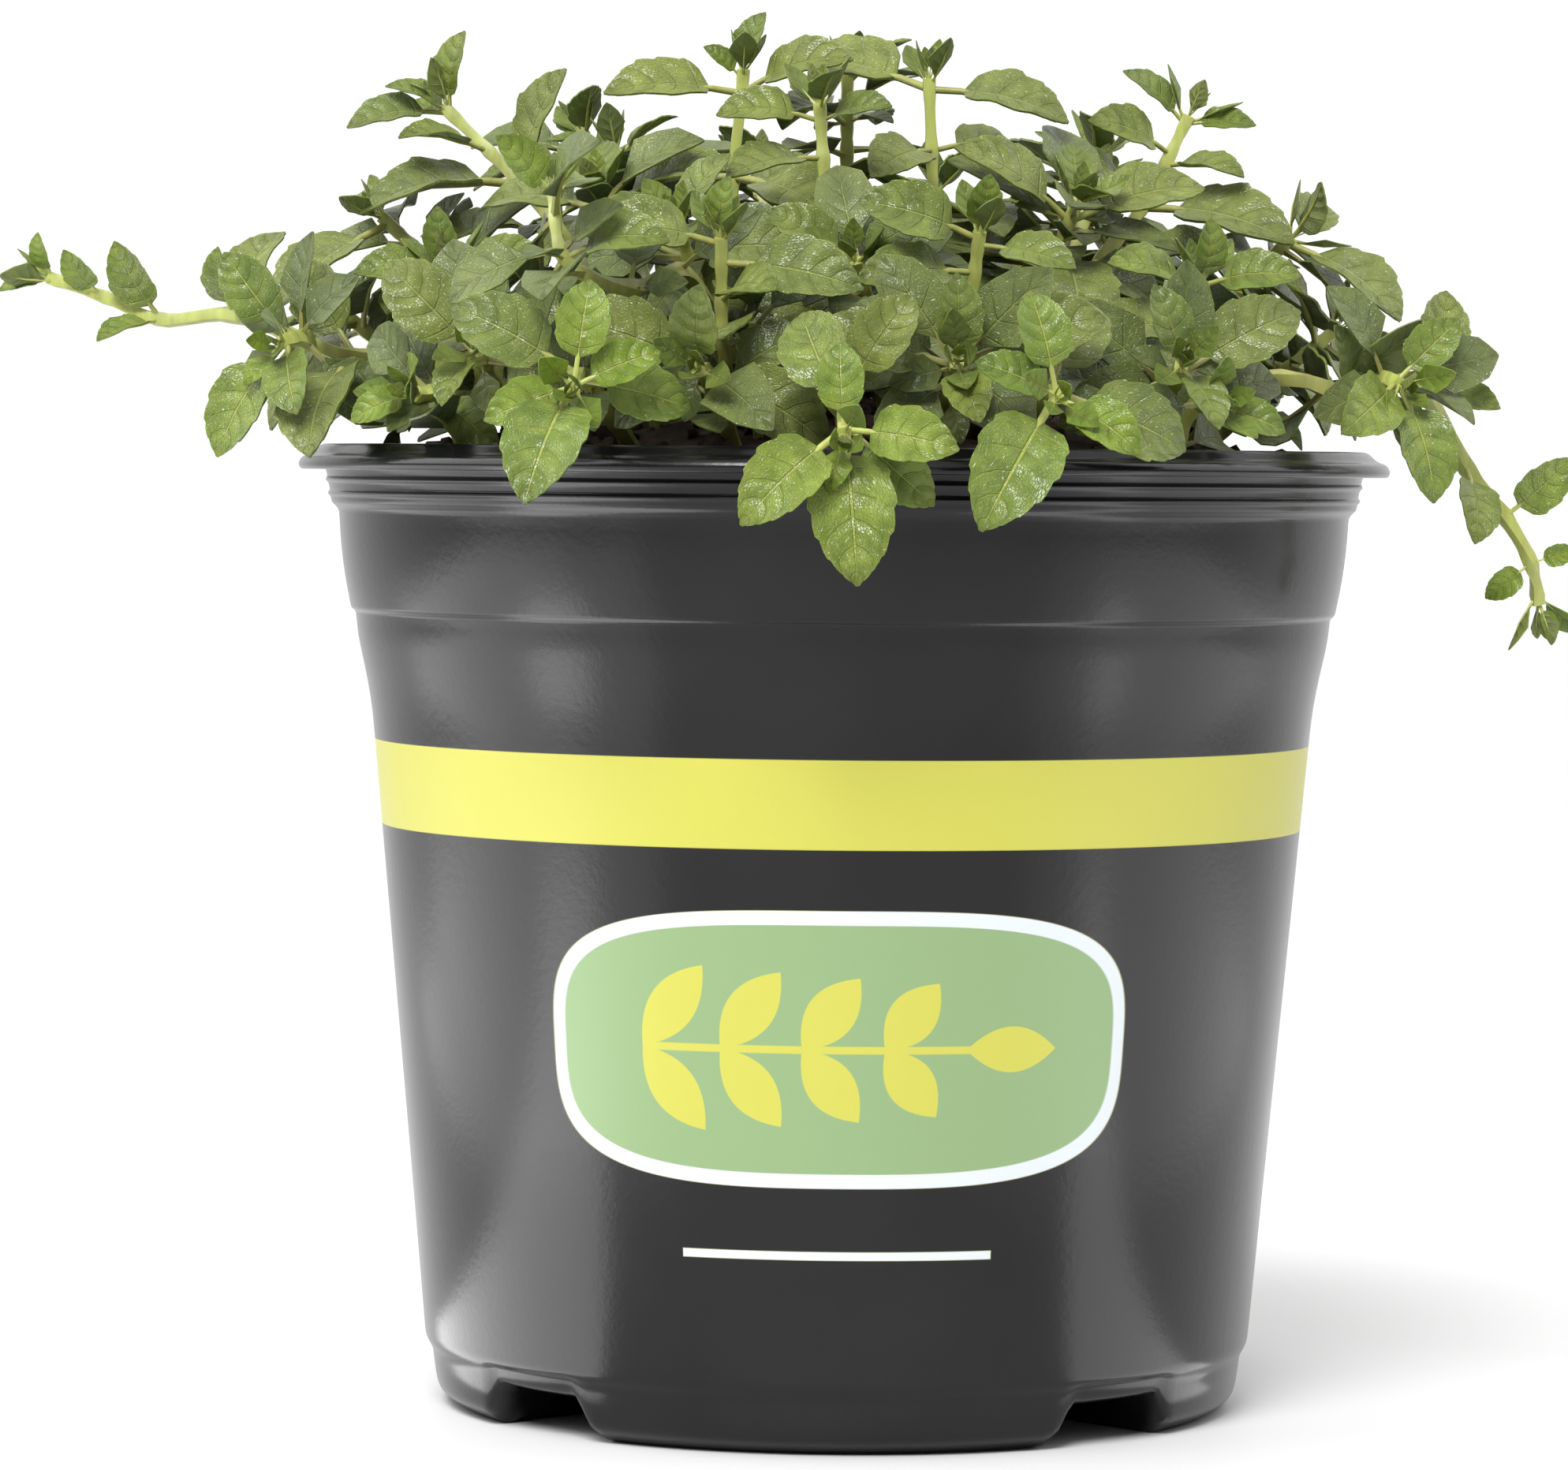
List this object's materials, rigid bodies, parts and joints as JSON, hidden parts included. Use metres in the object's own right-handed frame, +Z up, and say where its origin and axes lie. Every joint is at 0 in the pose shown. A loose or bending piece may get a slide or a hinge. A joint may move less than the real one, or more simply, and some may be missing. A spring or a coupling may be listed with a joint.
{
  "type": "potted mint plant",
  "caption": "Young mint plant with saw-edged leaves and arching runners, growing in a tapered black plastic nursery pot full of soil.",
  "frame": {"origin": "the middle of the pot's flat underside, on the pot's axis", "axes": "+Z up along the pot's axis, -Y towards the side that the picture shows, +X to the right of that side"},
  "size_m": [0.1713, 0.1381, 0.1533],
  "materials": {
    "pot_plastic": "gloss",
    "potting_soil": "matte",
    "mint_foliage": "satin"
  },
  "bodies": {
    "root": {"pot": "pot_plastic", "soil": "potting_soil", "mint_arching": "mint_foliage", "mint_back_inner_1": "mint_foliage", "mint_back_inner_2": "mint_foliage", "mint_back_inner_3": "mint_foliage", "mint_back_inner_4": "mint_foliage", "mint_back_outer_1": "mint_foliage", "mint_back_outer_2": "mint_foliage", "mint_back_outer_3": "mint_foliage", "mint_back_outer_4": "mint_foliage", "mint_back_outer_5": "mint_foliage", "mint_back_outer_6": "mint_foliage", "mint_back_outer_7": "mint_foliage", "mint_crown_left": "mint_foliage", "mint_crown_middle": "mint_foliage", "mint_crown_right": "mint_foliage", "mint_front_centre": "mint_foliage", "mint_front_left": "mint_foliage", "mint_front_right": "mint_foliage", "mint_heart_1": "mint_foliage", "mint_high_left": "mint_foliage", "mint_high_right": "mint_foliage", "mint_inner_front_left": "mint_foliage", "mint_inner_front_right": "mint_foliage", "mint_inner_left": "mint_foliage", "mint_inner_right": "mint_foliage", "mint_low_front_left": "mint_foliage", "mint_low_front_right": "mint_foliage", "mint_low_left": "mint_foliage", "mint_low_right": "mint_foliage", "mint_middle_left": "mint_foliage", "mint_middle_right": "mint_foliage", "mint_rear_left": "mint_foliage", "mint_rear_right": "mint_foliage", "mint_rim_left": "mint_foliage", "mint_rim_right": "mint_foliage", "mint_runner_left": "mint_foliage", "mint_runner_right": "mint_foliage", "mint_shoulder_left": "mint_foliage", "mint_shoulder_right": "mint_foliage", "mint_side_left": "mint_foliage", "mint_side_right": "mint_foliage"}
  },
  "joints": []
}
